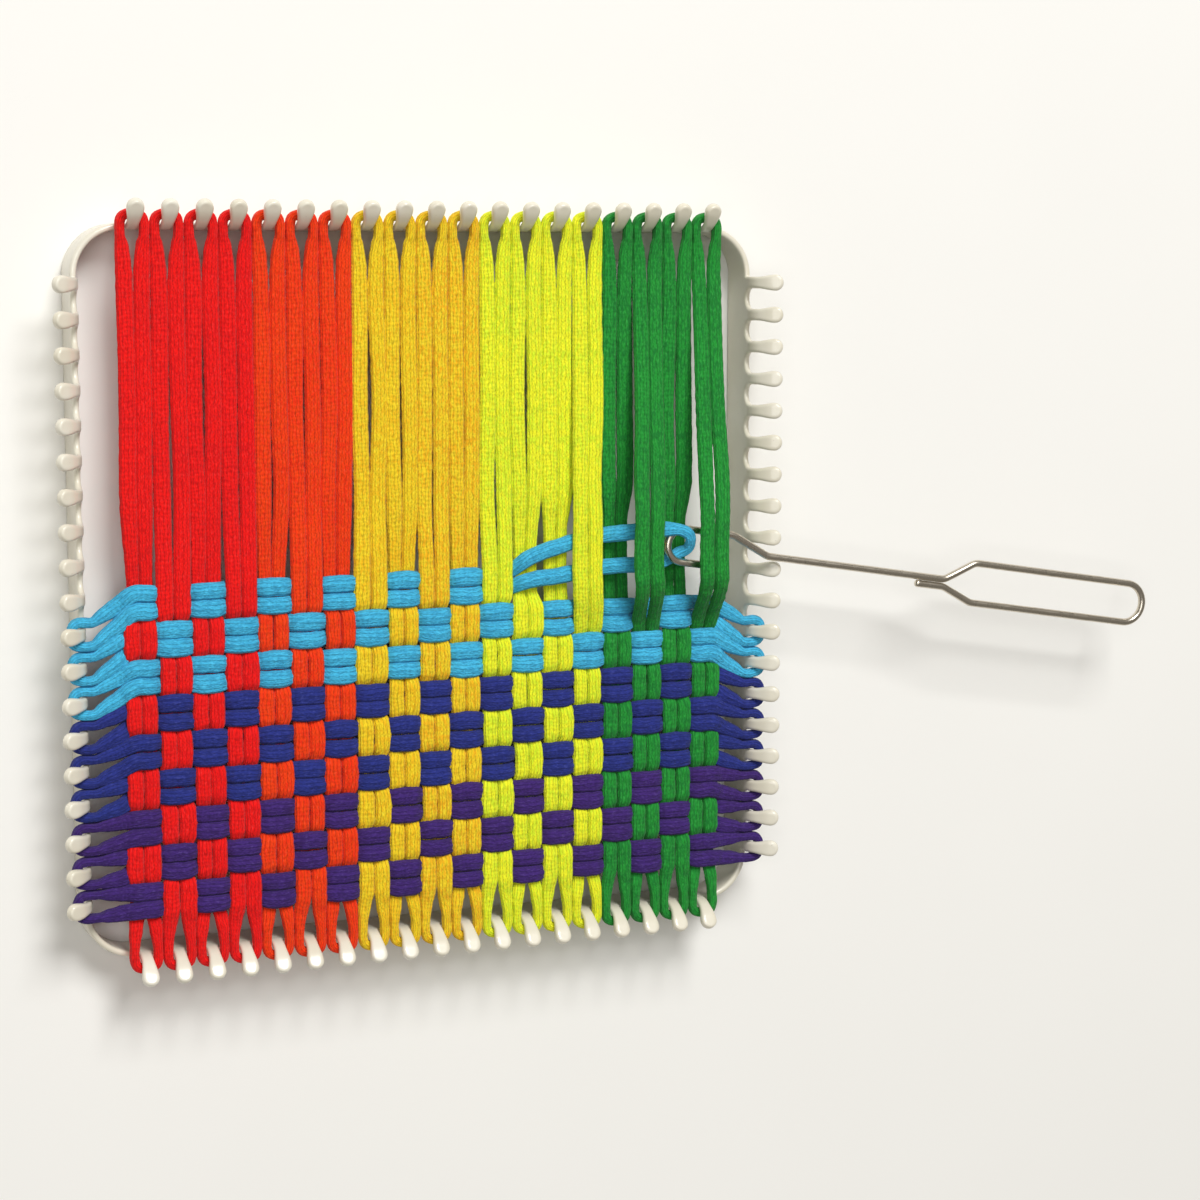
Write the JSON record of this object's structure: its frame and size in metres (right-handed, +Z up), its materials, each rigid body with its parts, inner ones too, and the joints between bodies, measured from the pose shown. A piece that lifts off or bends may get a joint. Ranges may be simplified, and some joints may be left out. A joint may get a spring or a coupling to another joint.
{
  "type": "potholder loom",
  "caption": "Square enamelled metal peg loom with upright and crossing fabric loops half woven on it, and a wire hook that is drawing one loop across.",
  "frame": {"origin": "centre of the square frame, on the plane of its base", "axes": "+Z up from the table, +X to the right across the loom towards the hook's handle, +Y along the upright loops to the far side"},
  "size_m": [0.3068, 0.193, 0.0268],
  "materials": {
    "frame_enamel": "glossy cream-white enamel on one-piece metal",
    "hook_steel": "drawn wire, bright",
    "loop_red": "knitted cotton loop, dyed, slightly fuzzy",
    "loop_orange_red": "knitted cotton loop, dyed, slightly fuzzy",
    "loop_yellow": "knitted cotton loop, dyed, slightly fuzzy",
    "loop_golden": "knitted cotton loop, dyed, slightly fuzzy",
    "loop_lime": "knitted cotton loop, dyed, slightly fuzzy",
    "loop_green": "knitted cotton loop, dyed, slightly fuzzy",
    "loop_sky_blue": "knitted cotton loop, dyed, slightly fuzzy",
    "loop_navy": "knitted cotton loop, dyed, slightly fuzzy",
    "loop_purple": "knitted cotton loop, dyed, slightly fuzzy"
  },
  "bodies": {
    "loom": {"loom_frame": "frame_enamel", "warp_loop_01": "loop_red", "warp_loop_02": "loop_red", "warp_loop_03": "loop_red", "warp_loop_04": "loop_red", "warp_loop_05": "loop_orange_red", "warp_loop_06": "loop_orange_red", "warp_loop_07": "loop_orange_red", "warp_loop_08": "loop_yellow", "warp_loop_09": "loop_yellow", "warp_loop_10": "loop_golden", "warp_loop_11": "loop_golden", "warp_loop_12": "loop_lime", "warp_loop_13": "loop_lime", "warp_loop_14": "loop_lime", "warp_loop_15": "loop_lime", "warp_loop_16": "loop_green", "warp_loop_17": "loop_green", "warp_loop_18": "loop_green", "warp_loop_19": "loop_green", "weft_loop_01": "loop_sky_blue", "weft_loop_02": "loop_sky_blue", "weft_loop_03": "loop_sky_blue", "weft_loop_04": "loop_navy", "weft_loop_05": "loop_navy", "weft_loop_06": "loop_navy", "weft_loop_07": "loop_purple", "weft_loop_08": "loop_purple", "weft_loop_09": "loop_purple"},
    "hook": {"hook": "hook_steel"}
  },
  "joints": [
    {"name": "hook_pull", "type": "slide", "parent": "loom", "child": "hook", "axis": [0.9877, -0.1564, 0], "range_m": [0, 0.028], "stiffness_N_per_m": 25, "deforming": ["weft_loop_01"]}
  ]
}
